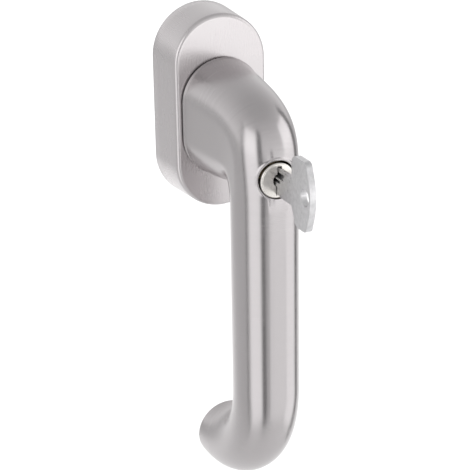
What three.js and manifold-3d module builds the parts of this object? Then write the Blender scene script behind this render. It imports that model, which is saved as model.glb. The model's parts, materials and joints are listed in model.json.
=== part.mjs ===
// Lockable tilt-and-turn window handle on an oval rose, with its key in the lock.
// Millimetres, +Z up, +X to the right, -Y out of the window towards the room.
// Depths are given as "forward" distances from the window plane, so y = -forward.
import * as THREE from 'three';
import { mergeVertices } from 'three/addons/utils/BufferGeometryUtils.js';
import Module from 'manifold-3d';

const wasm = await Module();
wasm.setup();

// ---- Driving dimensions -------------------------------------------------------------------

// Rose: a drafted oval cap, 31.6 x 64.4 in front, over a die-cast base plate.
const ROSE = { halfW: 15.8, halfH: 32.2, depth: 16.9, draft: 0.95, wall: 1.6, fillet: 0.9 };
const BASE = { halfW: 14.6, halfH: 31.3, thick: 4, hubHalfW: 12.5, hubHalfH: 17.5, hubFront: 13 };
const CHAMBER = { radius: 9.3, front: 10 };
const SCREW = { spacing: 43, radius: 2.5, bore: 2.8, length: 30, headRadius: 4.6, headFront: 7.8 };
const SPIGOT = { radius: 5, length: 9 };
const SCREW_BOSS = { radius: 5.2, front: 8 };
const SNAP_RIB = { height: 0.35, length: 6, from: 1, to: 2.6, z: 12 };
const PEG = { x: 10.2, radius: 1.2, front: 14.8 };

// Lever: oval neck on a round journal, round grip and a return bend towards the window.
const GRIP = { radius: 10.75, forward: 49.15, bore: 8.9, boreTop: -13.5 };
const NECK = { halfW: 13.88, halfH: 19.44, z: -1.26, gap: 0.3 };
const NECK_TOP = { tilt: 0.12, lead: 30.5, trail: 29.9, end: -15.9 };
const NECK_UNDER = { tilt: 0.04, lead: 22, trail: 5.3, end: -20 };
const NECK_TAPER = 3.2;
const BEND = { start: -84.6, radius: 29.7, angle: THREE.MathUtils.degToRad(94.5), stub: 2 };
const END_FILLET = 2.8;
const JOURNAL = { radius: 6, back: 9.9 };

// Spindle and what turns with it inside the rose.
const SPINDLE = { side: 7, chamfer: 0.5, back: -28, front: 21.5, socket: 21.8, slack: 0.05 };
const CROSS_PIN = { radius: 1, forward: 14, halfLength: 5.8 };
const DETENT = { radius: 8.5, from: 4.7, to: 9.7, notchRadius: 1.85, notchCentre: 9.9, notches: 4 };
const THRUST_WASHER = { radius: 8, from: 3.8, to: 4.5 };
const RETAINING_RING = { groove: 4.35, inner: 4.45, outer: 7.4, from: 2.8, to: 3.6 };
const BALL = { radius: 1.75, centre: 10.35, forward: 7.2 };
const SPRING = { wire: 0.25, coil: 1.45, turns: 4, inner: 12.2, outer: 15.55 };
const BALL_CHANNEL = { radius: 1.95, end: 15.7 };
const BUSH = { inner: 6.05, outer: 7.6, from: 10.1, to: 12.9 };
const LOCKING_PLATE = { halfW: 12, halfH: 14.6, from: 13.1, to: 15.1, bore: 6.4 };

// Lock cartridge, on an axis parallel to the spindle.
const LOCK = { z: -10.7, bore: 6.4, floor: 23, face: 59 };
const BOSS = { radius: 7.4, crest: 60.3, crown: 12.6, back: 48 };
const HOUSING = { radius: 6.3, front: 56.4, back: 23.3, bore: 5.3, shoulderFrom: 41, shoulderTo: 42.5, shoulder: 4.2 };
const PLUG = { flange: 6.1, flangeBack: 56.7, core: 5.2, coreBack: 42.7, neck: 4.1, neckBack: 39.6, groove: 3.4 };
const TAIL = { radius: 1.45, back: 32 };
const CLIP = { inner: 3.5, outer: 5.1, from: 40.05, to: 40.75 };
const KEYWAY = { halfH: 3.7, halfW: 1.3, back: 43, mouthHalfH: 4.5, mouthBack: 57.6 };
const WAFER = { count: 5, first: 45, pitch: 2.4, thick: 1, halfH: 4.75, halfW: 1.75, windowHalfH: 3.85, windowHalfW: 1.25 };
const WAFER_SLACK = 0.1;
const BOLT = { travel: 4, radius: 2, flat: 1.5, tip: 17.7, cupBack: 30.7, cupFront: 38.7, cup: 3.5, cupBore: 1.6 };
const DRIVE_PIN = { radius: 0.65, forward: 33, halfLength: 3.3, slot: 0.85, slotSteps: 12 };
const GUIDE = { radius: 5.2, front: 39.2, back: 23.3, floor: 26.4, cupBore: 3.6, pinSlack: 0.1 };
const PIN_HOLE = 2.3;
const SET_SCREW = { radius: 1.5, bore: 1.6, forward: 29.5, from: -19.3, to: -17.2, socket: 0.75 };

// Key: a flat blade that is fully home, with an upright bow.
const KEY = { halfThick: 1.05, tip: 43.6, bladeHalfH: 3.5, shoulder: 58.2, shankHalfH: 4.2, holeRadius: 2.7, holeForward: 79.4 };
const BOW = { back: 70.6, front: 83, z: 1, halfH: 11, corner: 2.2, bulgeFront: 2.2, bulgeBack: 1.8 };
const KEY_GROOVE = { half: 0.55, depth: 0.6, offsets: [1.1, -1.5], end: 64 };

const ROUND = 32;
const FINE_ROUND = 48;

// ---- Solids and how they are joined -------------------------------------------------------

// A geometry with only shared positions, no zero-area faces, and its faces pointing outwards.
function closed(geometry) {
  const bare = new THREE.BufferGeometry();
  bare.setAttribute('position', geometry.getAttribute('position'));
  bare.setIndex(geometry.getIndex());
  const merged = mergeVertices(bare, 1e-4);
  const position = merged.getAttribute('position');
  const index = merged.getIndex().array;
  const faces = [];
  const a = new THREE.Vector3();
  const b = new THREE.Vector3();
  const c = new THREE.Vector3();
  let volume = 0;
  for (let i = 0; i < index.length; i += 3) {
    const [p, q, r] = [index[i], index[i + 1], index[i + 2]];
    if (p === q || q === r || r === p) continue;
    faces.push(p, q, r);
    a.fromBufferAttribute(position, p);
    b.fromBufferAttribute(position, q);
    c.fromBufferAttribute(position, r);
    volume += a.dot(b.cross(c));
  }
  if (volume < 0) {
    for (let i = 0; i < faces.length; i += 3) [faces[i + 1], faces[i + 2]] = [faces[i + 2], faces[i + 1]];
  }
  merged.setIndex(faces);
  return merged;
}

function toManifold(geometry) {
  const solid = closed(geometry);
  const vertProperties = new Float32Array(solid.getAttribute('position').array);
  const triVerts = new Uint32Array(solid.getIndex().array);
  return new wasm.Manifold(new wasm.Mesh({ numProp: 3, vertProperties, triVerts }));
}

function fromManifold(manifold) {
  const mesh = manifold.getMesh();
  const geometry = new THREE.BufferGeometry();
  geometry.setAttribute('position', new THREE.BufferAttribute(new Float32Array(mesh.vertProperties), 3));
  geometry.setIndex(Array.from(mesh.triVerts));
  return geometry;
}

const combine = (operation) => (first, ...others) => {
  let result = toManifold(first);
  for (const other of others) result = result[operation](toManifold(other));
  return fromManifold(result);
};
const join = combine('add');
const cut = combine('subtract');
const common = combine('intersect');

// Moves a geometry sideways, forward (out of the window) and up.
const placed = (geometry, x, forward, z) => geometry.translate(x, -forward, z);

// A solid of revolution about an axis that runs forward; the profile lists [radius, forward].
function turned(profile, segments = ROUND) {
  const points = profile.map(([radius, forward]) => new THREE.Vector2(radius, -forward));
  points.push(points[0].clone());
  return closed(new THREE.LatheGeometry(points, segments));
}

const rod = (radius, from, to, segments) => turned([[0, from], [radius, from], [radius, to], [0, to]], segments);

function tube(inner, outer, from, to, segments) {
  return turned([[inner, from], [outer, from], [outer, to], [inner, to]], segments);
}

// A flat outline in the X-Z plane, given thickness forward.
function prism(shape, from, to) {
  const geometry = new THREE.ExtrudeGeometry(shape, { depth: to - from, bevelEnabled: false, curveSegments: 12 });
  geometry.rotateX(Math.PI / 2);
  return closed(geometry.translate(0, -from, 0));
}

function block(halfX, from, to, halfZ) {
  const geometry = new THREE.BoxGeometry(2 * halfX, to - from, 2 * halfZ);
  return closed(placed(geometry, 0, (from + to) / 2, 0));
}

// An upright oval: two half circles joined by straight sides.
function stadium(halfW, halfH) {
  const straight = halfH - halfW;
  const shape = new THREE.Shape();
  shape.absarc(0, straight, halfW, 0, Math.PI);
  shape.absarc(0, -straight, halfW, Math.PI, 2 * Math.PI);
  shape.closePath();
  return shape;
}

// One ring of an oval section in the plane through the X direction and the direction "up".
function ovalRing(centre, up, halfW, halfH, count) {
  const cap = Math.min(halfW, halfH);
  const straight = halfH - cap;
  return Array.from({ length: count }, (_, i) => {
    const angle = ((i + 0.5) / count) * 2 * Math.PI;
    const along = cap * Math.cos(angle) + Math.sign(Math.cos(angle)) * straight;
    return new THREE.Vector3(
      halfW * Math.sin(angle),
      -(centre.x + up.x * along),
      centre.y + up.y * along,
    );
  });
}

// A closed skin over a row of rings, with a flat cap on each end.
function loft(rings) {
  const count = rings[0].length;
  const points = rings.flat();
  const index = [];
  for (let k = 0; k + 1 < rings.length; k += 1) {
    for (let i = 0; i < count; i += 1) {
      const j = (i + 1) % count;
      const [a, b, c, d] = [k * count + i, k * count + j, (k + 1) * count + j, (k + 1) * count + i];
      index.push(a, b, c, a, c, d);
    }
  }
  for (const [k, flip] of [[0, true], [rings.length - 1, false]]) {
    const centre = new THREE.Vector3();
    rings[k].forEach((point) => centre.add(point));
    points.push(centre.divideScalar(count));
    for (let i = 0; i < count; i += 1) {
      const pair = [k * count + i, k * count + ((i + 1) % count)];
      if (flip) pair.reverse();
      index.push(points.length - 1, ...pair);
    }
  }
  const geometry = new THREE.BufferGeometry().setFromPoints(points);
  geometry.setIndex(index);
  return closed(geometry);
}

// A helical compression spring on a vertical axis.
function coilSpring(low, high) {
  class Helix extends THREE.Curve {
    getPoint(t) {
      const angle = t * SPRING.turns * 2 * Math.PI;
      const z = low + SPRING.wire + t * (high - low - 2 * SPRING.wire);
      return new THREE.Vector3(SPRING.coil * Math.cos(angle), SPRING.coil * Math.sin(angle), z);
    }
  }
  const section = new THREE.Shape();
  section.absarc(0, 0, SPRING.wire, 0, 2 * Math.PI);
  const options = { steps: SPRING.turns * 14, extrudePath: new Helix(), curveSegments: 3 };
  return closed(new THREE.ExtrudeGeometry(section, options));
}

// ---- Rose ---------------------------------------------------------------------------------

function roseSection(forward, inset, count) {
  const swell = ROSE.draft * (1 - forward / ROSE.depth) - inset;
  const centre = new THREE.Vector2(forward, 0);
  return ovalRing(centre, new THREE.Vector2(0, 1), ROSE.halfW + swell, ROSE.halfH + swell, count);
}

function roseCover() {
  const count = FINE_ROUND;
  const rings = [roseSection(0, 0, count)];
  for (let i = 0; i <= 3; i += 1) {
    const angle = (i / 3) * (Math.PI / 2);
    const forward = ROSE.depth - ROSE.fillet * (1 - Math.sin(angle));
    rings.push(roseSection(forward, ROSE.fillet * (1 - Math.cos(angle)), count));
  }
  const inside = ROSE.depth - ROSE.wall;
  const hollow = loft([roseSection(-1, ROSE.wall, count), roseSection(inside, ROSE.wall, count)]);
  const journalHole = rod(LOCKING_PLATE.bore, inside - 1, ROSE.depth + 1);
  return cut(loft(rings), hollow, journalHole, ...boltHoles(inside - 1, ROSE.depth + 1));
}

// The locking pin enters with the lever down (closed) and with it up (tilted).
function boltHoles(from, to) {
  return [LOCK.z, -LOCK.z].map((z) => placed(rod(PIN_HOLE, from, to, 24), 0, 0, z));
}

const screwHeights = [SCREW.spacing / 2, -SCREW.spacing / 2];

function screwCore(extra) {
  const neck = SCREW.headFront - (SCREW.headRadius - SCREW.radius);
  return turned([
    [0, SCREW.headFront - SCREW.length],
    [SCREW.radius - 0.6, SCREW.headFront - SCREW.length],
    [SCREW.radius + extra, SCREW.headFront - SCREW.length + 0.8],
    [SCREW.radius + extra, neck],
    [SCREW.headRadius + extra, SCREW.headFront],
    [0, SCREW.headFront],
  ]);
}

function basePlate() {
  const pegs = [PEG.x, -PEG.x].map((x) => placed(rod(PEG.radius, BASE.hubFront - 1, PEG.front, 20), x, 0, 0));
  const bosses = screwHeights.map((z) => placed(rod(SCREW_BOSS.radius, BASE.thick - 1, SCREW_BOSS.front), 0, 0, z));
  const spigots = screwHeights.map((z) => placed(turned([
    [0, -SPIGOT.length],
    [SPIGOT.radius - 0.6, -SPIGOT.length],
    [SPIGOT.radius, -SPIGOT.length + 0.6],
    [SPIGOT.radius, 1],
    [0, 1],
  ]), 0, 0, z));
  const ribs = [1, -1].flatMap((side) => [1, -1].map((end) => {
    const rib = block(SNAP_RIB.height, SNAP_RIB.from, SNAP_RIB.to, SNAP_RIB.length / 2);
    return placed(rib, side * BASE.halfW, 0, end * SNAP_RIB.z);
  }));
  const body = join(
    prism(stadium(BASE.halfW, BASE.halfH), 0, BASE.thick),
    prism(stadium(BASE.hubHalfW, BASE.hubHalfH), BASE.thick - 1, BASE.hubFront),
    ...pegs, ...bosses, ...spigots, ...ribs,
  );
  const bores = screwHeights.flatMap((z) => [
    placed(rod(SCREW.bore, -SPIGOT.length - 1, SCREW_BOSS.front + 1), 0, 0, z),
    placed(turned([
      [0, SCREW.headFront - SCREW.headRadius],
      [SCREW.headRadius + 0.2 + (SCREW_BOSS.front - SCREW.headFront) + 0.3, SCREW_BOSS.front + 0.3],
      [0, SCREW_BOSS.front + 0.3],
    ]), 0, 0, z),
  ]);
  const channels = [1, -1].map((side) => {
    const length = BALL_CHANNEL.end - CHAMBER.radius + 1;
    const channel = new THREE.CylinderGeometry(BALL_CHANNEL.radius, BALL_CHANNEL.radius, length, 20);
    channel.rotateX(Math.PI / 2);
    return placed(channel, 0, BALL.forward, side * (BALL_CHANNEL.end - length / 2));
  });
  return cut(
    body,
    rod(CHAMBER.radius, -1, CHAMBER.front, FINE_ROUND),
    rod(BUSH.outer + 0.1, CHAMBER.front - 1, BASE.hubFront + 1),
    ...bores, ...channels,
  );
}

function fixingScrew(z) {
  const recess = [0, Math.PI / 2].map((turn) => {
    const slot = block(2.4, SCREW.headFront - 2, SCREW.headFront + 1, 0.6);
    return slot.rotateY(turn + Math.PI / 4);
  });
  return placed(cut(screwCore(0), ...recess), 0, 0, z);
}

function lockingPlate() {
  const pegHoles = [PEG.x, -PEG.x].map((x) => placed(rod(PEG.radius + 0.15, 12, 16, 20), x, 0, 0));
  return cut(
    prism(stadium(LOCKING_PLATE.halfW, LOCKING_PLATE.halfH), LOCKING_PLATE.from, LOCKING_PLATE.to),
    rod(LOCKING_PLATE.bore, 12, 16),
    ...pegHoles, ...boltHoles(12, 16),
  );
}

function detentBall(side) {
  const ball = new THREE.SphereGeometry(BALL.radius, 16, 12);
  return placed(ball, 0, BALL.forward, side * BALL.centre);
}

function detentSpring(side) {
  const spring = coilSpring(SPRING.inner, SPRING.outer);
  if (side < 0) spring.rotateX(Math.PI);
  return placed(spring, 0, BALL.forward, 0);
}

// ---- Spindle group ------------------------------------------------------------------------

function squareOutline(side, chamfer) {
  const half = side / 2;
  const inner = half - chamfer;
  const corners = [
    [half, inner], [inner, half], [-inner, half], [-half, inner],
    [-half, -inner], [-inner, -half], [inner, -half], [half, -inner],
  ];
  return new THREE.Shape(corners.map(([x, z]) => new THREE.Vector2(x, z)));
}

function crossPin(radius, halfLength, forward, z, segments = 16) {
  const pin = new THREE.CylinderGeometry(radius, radius, 2 * halfLength, segments);
  pin.rotateZ(Math.PI / 2);
  return placed(pin, 0, forward, z);
}

function spindle() {
  const groove = tube(RETAINING_RING.groove, 8, RETAINING_RING.from - 0.1, RETAINING_RING.to + 0.1);
  return cut(
    prism(squareOutline(SPINDLE.side, SPINDLE.chamfer), SPINDLE.back, SPINDLE.front),
    groove,
    crossPin(CROSS_PIN.radius + 0.1, 8, CROSS_PIN.forward, 0),
  );
}

const spindleHole = (from, to) => prism(squareOutline(SPINDLE.side + 2 * SPINDLE.slack, 0.3), from, to);

function detentDisc() {
  const notches = Array.from({ length: DETENT.notches }, (_, i) => {
    const angle = (i / DETENT.notches) * 2 * Math.PI;
    const notch = rod(DETENT.notchRadius, DETENT.from - 1, DETENT.to + 1, 24);
    return placed(notch, DETENT.notchCentre * Math.sin(angle), 0, DETENT.notchCentre * Math.cos(angle));
  });
  return cut(rod(DETENT.radius, DETENT.from, DETENT.to, FINE_ROUND), spindleHole(0, 12), ...notches);
}

function thrustWasher() {
  return cut(rod(THRUST_WASHER.radius, THRUST_WASHER.from, THRUST_WASHER.to), spindleHole(0, 12));
}

// An open ring that snaps into the groove on the spindle's corners.
function retainingRing() {
  const ring = tube(RETAINING_RING.inner, RETAINING_RING.outer, RETAINING_RING.from, RETAINING_RING.to);
  return cut(ring, placed(block(2.6, 0, 8, 5), 0, 0, -7));
}

// ---- Lever --------------------------------------------------------------------------------

function neckEdges() {
  const front = ROSE.depth + NECK.gap;
  const point = (forward, z) => new THREE.Vector2(forward, z);
  const top = NECK.z + NECK.halfH;
  const under = NECK.z - NECK.halfH;
  const outside = GRIP.forward + GRIP.radius;
  const inside = GRIP.forward - GRIP.radius;
  return [
    new THREE.CubicBezierCurve(
      point(front, top),
      point(front + NECK_TOP.lead, top - NECK_TOP.lead * Math.tan(NECK_TOP.tilt)),
      point(outside, NECK_TOP.end + NECK_TOP.trail),
      point(outside, NECK_TOP.end),
    ),
    new THREE.CubicBezierCurve(
      point(front, under),
      point(front + NECK_UNDER.lead, under + NECK_UNDER.lead * Math.tan(NECK_UNDER.tilt)),
      point(inside, NECK_UNDER.end + NECK_UNDER.trail),
      point(inside, NECK_UNDER.end),
    ),
  ];
}

function neckRings(steps, count) {
  const [outer, inner] = neckEdges();
  return Array.from({ length: steps + 1 }, (_, i) => {
    const t = i / steps;
    const high = outer.getPoint(t);
    const low = inner.getPoint(t);
    const centre = high.clone().add(low).divideScalar(2);
    const halfH = high.distanceTo(low) / 2;
    const up = high.clone().sub(low).normalize();
    const halfW = GRIP.radius + (NECK.halfW - GRIP.radius) * (1 - t) ** NECK_TAPER;
    return ovalRing(centre, up, halfW, halfH, count);
  });
}

const bendCentre = GRIP.forward - BEND.radius;

function bendRing(angle, past, radius, count) {
  const centre = new THREE.Vector2(
    bendCentre + BEND.radius * Math.cos(angle) - past * Math.sin(angle),
    BEND.start - BEND.radius * Math.sin(angle) - past * Math.cos(angle),
  );
  return ovalRing(centre, new THREE.Vector2(Math.cos(angle), -Math.sin(angle)), radius, radius, count);
}

// A ring of the straight stretch of the grip, at the given height.
function straightRing(z, radius, count) {
  const centre = new THREE.Vector2(GRIP.forward, z);
  return ovalRing(centre, new THREE.Vector2(1, 0), radius, radius, count);
}

function gripBody(count) {
  const rings = neckRings(20, count);
  rings.push(straightRing(NECK_UNDER.end - 4, GRIP.radius, count));
  const bendSteps = 15;
  for (let i = 0; i <= bendSteps; i += 1) {
    rings.push(bendRing((i / bendSteps) * BEND.angle, 0, GRIP.radius, count));
  }
  for (let i = 0; i <= 4; i += 1) {
    const angle = (i / 4) * (Math.PI / 2);
    const past = BEND.stub - END_FILLET * (1 - Math.sin(angle));
    rings.push(bendRing(BEND.angle, past, GRIP.radius - END_FILLET * (1 - Math.cos(angle)), count));
  }
  return loft(rings);
}

// The round hollow of the grip, open to the lock bore at its top end.
function gripHollow() {
  const count = 24;
  const rings = [straightRing(GRIP.boreTop, GRIP.bore, count)];
  const steps = 9;
  for (let i = 0; i <= steps; i += 1) rings.push(bendRing((i / steps) * (BEND.angle - 0.1), 0, GRIP.bore, count));
  return loft(rings);
}

// The raised collar round the lock: a round post cut to a gently crowned crest.
function lockBoss() {
  const post = placed(rod(BOSS.radius, BOSS.back, BOSS.crest + 2, FINE_ROUND), 0, 0, LOCK.z);
  const crown = new THREE.CylinderGeometry(BOSS.crown, BOSS.crown, 40, 64);
  crown.rotateX(Math.PI / 2);
  return common(post, placed(crown, 0, BOSS.crest - BOSS.crown, LOCK.z));
}

function lever() {
  const body = join(gripBody(40), rod(JOURNAL.radius, JOURNAL.back, 19), lockBoss());
  const setScrewHole = new THREE.CylinderGeometry(SET_SCREW.bore, SET_SCREW.bore, 8, 16);
  setScrewHole.rotateX(Math.PI / 2);
  return cut(
    body,
    gripHollow(),
    placed(rod(LOCK.bore, LOCK.floor, BOSS.crest + 2, FINE_ROUND), 0, 0, LOCK.z),
    placed(rod(PIN_HOLE, 12, LOCK.floor + 1, 24), 0, 0, LOCK.z),
    spindleHole(5, SPINDLE.socket),
    crossPin(CROSS_PIN.radius + 0.1, 8, CROSS_PIN.forward, 0),
    placed(setScrewHole, 0, SET_SCREW.forward, LOCK.z - LOCK.bore - 3),
  );
}

// ---- Lock cartridge -----------------------------------------------------------------------

const onLockAxis = (geometry) => placed(geometry, 0, 0, LOCK.z);

function lockHousing() {
  return onLockAxis(turned([
    [HOUSING.bore, HOUSING.back],
    [HOUSING.radius, HOUSING.back],
    [HOUSING.radius, HOUSING.front],
    [HOUSING.bore, HOUSING.front],
    [HOUSING.bore, HOUSING.shoulderTo],
    [HOUSING.shoulder, HOUSING.shoulderTo],
    [HOUSING.shoulder, HOUSING.shoulderFrom],
    [HOUSING.bore, HOUSING.shoulderFrom],
  ], FINE_ROUND));
}

function flattedRod(radius, flat, from, to) {
  const keep = placed(block(radius, from - 1, to + 1, radius + 1), flat - radius, 0, 0);
  return common(rod(radius, from, to, 24), keep);
}

function boltGuide() {
  return onLockAxis(cut(
    rod(GUIDE.radius, GUIDE.back, GUIDE.front, FINE_ROUND),
    rod(GUIDE.cupBore, GUIDE.floor, GUIDE.front + 1),
    flattedRod(BOLT.radius + GUIDE.pinSlack, BOLT.flat + GUIDE.pinSlack, GUIDE.back - 1, GUIDE.floor + 1),
  ));
}

function lockPlug() {
  const body = turned([
    [0, TAIL.back],
    [TAIL.radius, TAIL.back],
    [TAIL.radius, PLUG.neckBack],
    [PLUG.neck, PLUG.neckBack],
    [PLUG.neck, CLIP.from - 0.1],
    [PLUG.groove, CLIP.from - 0.1],
    [PLUG.groove, CLIP.to + 0.1],
    [PLUG.neck, CLIP.to + 0.1],
    [PLUG.neck, PLUG.coreBack],
    [PLUG.core, PLUG.coreBack],
    [PLUG.core, PLUG.flangeBack],
    [PLUG.flange, PLUG.flangeBack],
    [PLUG.flange, LOCK.face - 0.5],
    [PLUG.flange - 0.5, LOCK.face],
    [0, LOCK.face],
  ], FINE_ROUND);
  const slots = waferDepths.map((forward) => block(
    WAFER.halfW + WAFER_SLACK,
    forward - WAFER.thick / 2 - WAFER_SLACK,
    forward + WAFER.thick / 2 + WAFER_SLACK,
    WAFER.halfH + WAFER_SLACK,
  ));
  return onLockAxis(cut(
    body,
    block(KEYWAY.halfW, KEYWAY.back, LOCK.face + 1, KEYWAY.halfH),
    block(KEYWAY.halfW, KEYWAY.mouthBack, LOCK.face + 1, KEYWAY.mouthHalfH),
    crossPin(DRIVE_PIN.radius + 0.05, 4, DRIVE_PIN.forward, 0),
    ...slots,
  ));
}

const waferDepths = Array.from({ length: WAFER.count }, (_, i) => WAFER.first + i * WAFER.pitch);

function wafer(forward) {
  const from = forward - WAFER.thick / 2;
  const to = forward + WAFER.thick / 2;
  return onLockAxis(cut(
    block(WAFER.halfW, from, to, WAFER.halfH),
    block(WAFER.windowHalfW, from - 1, to + 1, WAFER.windowHalfH),
  ));
}

function plugClip() {
  const ring = tube(CLIP.inner, CLIP.outer, CLIP.from, CLIP.to);
  return onLockAxis(cut(ring, placed(block(2.2, 38, 42, 3), 0, 0, -5)));
}

// The locking pin: a flatted pin behind a cup whose helical slots ride on the drive pin.
function lockingPin() {
  const cup = tube(BOLT.cupBore, BOLT.cup, BOLT.cupBack + 1, BOLT.cupFront);
  const floor = rod(BOLT.cup, BOLT.cupBack, BOLT.cupBack + 1);
  const pin = flattedRod(BOLT.radius, BOLT.flat, BOLT.tip, BOLT.cupBack + 0.5);
  const slots = Array.from({ length: DRIVE_PIN.slotSteps + 1 }, (_, i) => {
    const share = i / DRIVE_PIN.slotSteps;
    const slot = crossPin(DRIVE_PIN.slot, 5, DRIVE_PIN.forward + share * BOLT.travel, 0, 12);
    return slot.rotateY(share * (Math.PI / 2));
  });
  return onLockAxis(cut(join(cup, floor, pin), ...slots));
}

function setScrew() {
  const length = SET_SCREW.to - SET_SCREW.from;
  const body = new THREE.CylinderGeometry(SET_SCREW.radius, SET_SCREW.radius, length, 24);
  body.rotateX(Math.PI / 2);
  const socket = new THREE.CylinderGeometry(SET_SCREW.socket, SET_SCREW.socket, 1.3, 6);
  socket.rotateX(Math.PI / 2);
  socket.translate(0, 0, -length / 2);
  return placed(cut(body, socket), 0, SET_SCREW.forward, (SET_SCREW.from + SET_SCREW.to) / 2);
}

// ---- Key ----------------------------------------------------------------------------------

// Bow outline with bulged front and back edges and rounded corners.
function bowShape() {
  const shape = new THREE.Shape();
  const { back, front, halfH, corner, bulgeFront, bulgeBack } = BOW;
  shape.moveTo(back + bulgeBack + corner, halfH);
  shape.lineTo(front - bulgeFront - corner, halfH);
  shape.quadraticCurveTo(front - bulgeFront, halfH, front - bulgeFront + 0.5, halfH - corner);
  shape.quadraticCurveTo(front + bulgeFront - 0.5, 0, front - bulgeFront + 0.5, corner - halfH);
  shape.quadraticCurveTo(front - bulgeFront, -halfH, front - bulgeFront - corner, -halfH);
  shape.lineTo(back + bulgeBack + corner, -halfH);
  shape.quadraticCurveTo(back + bulgeBack, -halfH, back + bulgeBack, corner - halfH);
  shape.lineTo(back, -halfH / 2);
  shape.lineTo(back, halfH / 2);
  shape.lineTo(back + bulgeBack, halfH - corner);
  shape.quadraticCurveTo(back + bulgeBack, halfH, back + bulgeBack + corner, halfH);
  const hole = new THREE.Path();
  hole.absarc(KEY.holeForward, 0, KEY.holeRadius, 0, 2 * Math.PI);
  shape.holes.push(hole);
  return shape;
}

function key() {
  const bow = new THREE.ExtrudeGeometry(bowShape(), {
    depth: 2 * KEY.halfThick,
    bevelEnabled: false,
    curveSegments: 8,
  });
  // The outline is drawn in forward and height; stand it upright in the X = 0 plane.
  bow.rotateX(Math.PI / 2);
  bow.rotateZ(-Math.PI / 2);
  bow.translate(KEY.halfThick, 0, BOW.z);
  const blade = block(KEY.halfThick, KEY.tip, KEY.shoulder + 1, KEY.bladeHalfH);
  const shank = block(KEY.halfThick, KEY.shoulder, BOW.back + 1, KEY.shankHalfH);
  const grooves = KEY_GROOVE.offsets.map((z) => placed(
    block(KEY_GROOVE.depth, KEY.tip - 1, KEY_GROOVE.end, KEY_GROOVE.half),
    -KEY.halfThick, 0, z,
  ));
  return onLockAxis(cut(join(bow, blade, shank), ...grooves));
}

// ---- The assembly -------------------------------------------------------------------------

const finishes = {
  satin_steel: { color: 0xb4b2af, roughness: 0.38, metalness: 1 },
  zinc: { color: 0x9fa0a0, roughness: 0.55, metalness: 1 },
  steel: { color: 0xaeb0b3, roughness: 0.35, metalness: 1 },
  spring_steel: { color: 0x8c8f93, roughness: 0.3, metalness: 1 },
  nickel: { color: 0xbdbab3, roughness: 0.28, metalness: 1 },
  brass: { color: 0xb5a05a, roughness: 0.35, metalness: 1 },
  nylon: { color: 0xe2e0d8, roughness: 0.6, metalness: 0 },
};

const group = new THREE.Group();

function add(name, finish, geometry) {
  const mesh = new THREE.Mesh(closed(geometry), new THREE.MeshStandardMaterial(finishes[finish]));
  mesh.name = name;
  group.add(mesh);
}

add('base_plate', 'zinc', basePlate());
add('rose_cover', 'satin_steel', roseCover());
add('locking_plate', 'steel', lockingPlate());
add('bearing_bush', 'nylon', tube(BUSH.inner, BUSH.outer, BUSH.from, BUSH.to));
for (const [end, side] of [['upper', 1], ['lower', -1]]) {
  add(`fixing_screw_${end}`, 'steel', fixingScrew((side * SCREW.spacing) / 2));
  add(`detent_ball_${end}`, 'steel', detentBall(side));
  add(`detent_spring_${end}`, 'spring_steel', detentSpring(side));
}
add('spindle', 'steel', spindle());
add('spindle_cross_pin', 'steel', crossPin(CROSS_PIN.radius, CROSS_PIN.halfLength, CROSS_PIN.forward, 0));
add('detent_disc', 'steel', detentDisc());
add('thrust_washer', 'nylon', thrustWasher());
add('retaining_ring', 'spring_steel', retainingRing());
add('lever', 'satin_steel', lever());
add('lock_housing', 'brass', lockHousing());
add('bolt_guide', 'brass', boltGuide());
add('cartridge_set_screw', 'steel', setScrew());
add('lock_plug', 'nickel', lockPlug());
waferDepths.forEach((forward, i) => add(`wafer_${i + 1}`, 'brass', wafer(forward)));
add('plug_clip', 'spring_steel', plugClip());
add('drive_pin', 'steel', onLockAxis(crossPin(DRIVE_PIN.radius, DRIVE_PIN.halfLength, DRIVE_PIN.forward, 0)));
add('locking_pin', 'steel', lockingPin());
add('key', 'nickel', key());

export default group;
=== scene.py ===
"""The looks of a lockable tilt-and-turn window handle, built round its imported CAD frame."""

import json
from math import cos, hypot, pi, radians, sin, tan

import bmesh
import bpy
import numpy as np
from mathutils import Matrix, Vector


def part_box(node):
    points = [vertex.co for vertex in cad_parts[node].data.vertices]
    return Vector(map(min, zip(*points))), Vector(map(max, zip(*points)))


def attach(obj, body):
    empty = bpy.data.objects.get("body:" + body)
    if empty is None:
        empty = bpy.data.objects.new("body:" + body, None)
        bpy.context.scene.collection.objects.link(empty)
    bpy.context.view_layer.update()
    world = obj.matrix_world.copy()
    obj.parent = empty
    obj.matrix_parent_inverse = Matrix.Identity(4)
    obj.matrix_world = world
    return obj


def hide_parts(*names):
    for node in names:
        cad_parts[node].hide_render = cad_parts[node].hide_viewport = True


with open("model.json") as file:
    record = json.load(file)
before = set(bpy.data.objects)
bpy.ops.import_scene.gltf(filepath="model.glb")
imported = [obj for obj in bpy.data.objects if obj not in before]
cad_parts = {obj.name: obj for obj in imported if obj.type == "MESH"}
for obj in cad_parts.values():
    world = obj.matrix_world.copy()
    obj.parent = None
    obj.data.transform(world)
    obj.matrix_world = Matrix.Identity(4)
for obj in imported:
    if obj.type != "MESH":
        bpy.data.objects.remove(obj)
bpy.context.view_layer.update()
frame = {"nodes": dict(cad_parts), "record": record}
SLOTS = {row["node"]: row["material_slot"] for row in frame["record"]["subparts"]}

# Everything below is drawn in millimetres as (x, forward, z), where forward is out of the
# window towards the room, and is turned into the frame's metres by point().
MM = 0.001


def point(x, forward, z):
    return Vector((x * MM, -forward * MM, z * MM))


def extent(node):
    """A CAD node's lowest and highest x, forward and z, in millimetres."""
    low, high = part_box(node)
    return (
        Vector((low.x, -high.y, low.z)) / MM,
        Vector((high.x, -low.y, high.z)) / MM,
    )


# ---- Sizes, from the frame where it holds them ----------------------------------------------

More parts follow.
